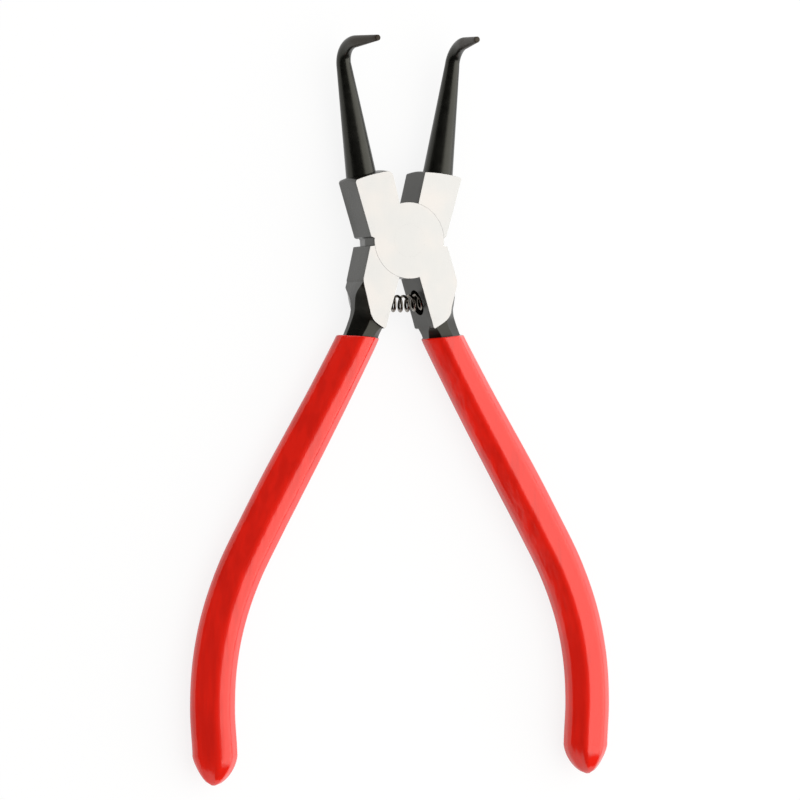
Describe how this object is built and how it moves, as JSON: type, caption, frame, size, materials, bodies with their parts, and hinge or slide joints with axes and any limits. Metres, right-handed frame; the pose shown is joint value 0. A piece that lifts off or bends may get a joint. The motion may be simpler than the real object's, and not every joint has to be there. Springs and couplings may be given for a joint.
{
  "type": "snap-ring pliers",
  "caption": "Internal snap-ring pliers with round tapered jaws, tips bent at a right angle, a lap joint, a return spring and dipped grips.",
  "frame": {"origin": "on the pivot axis, level with the rear ground face of the head", "axes": "+Y along the tool from the handles to the jaws, +Z out of the front face along the pivot axis and along the bent tips, +X to the right seen from the front"},
  "size_m": [0.1042, 0.1696, 0.0216],
  "materials": {
    "front_lever": "black oxide on the forged surfaces, bright ground flat faces on the head",
    "rear_lever": "black oxide on the forged surfaces, bright ground flat faces on the head",
    "pivot_rivet": "ground flush with the head",
    "return_spring": "dark oil-blackened spring wire",
    "left_grip": "glossy red dipped vinyl",
    "right_grip": "glossy red dipped vinyl"
  },
  "bodies": {
    "rear_half": {"rear_lever": "rear_lever", "pivot_rivet": "pivot_rivet", "left_grip": "left_grip", "return_spring": "return_spring"},
    "front_half": {"front_lever": "front_lever", "right_grip": "right_grip"}
  },
  "joints": [
    {"name": "plier_pivot", "type": "hinge", "parent": "rear_half", "child": "front_half", "pos_m": [0, 0, 0.00535], "axis": [0, 0, 1], "range_deg": [-28, 11], "stiffness_Nm_per_rad": 0.45, "deforming": ["return_spring"]}
  ]
}
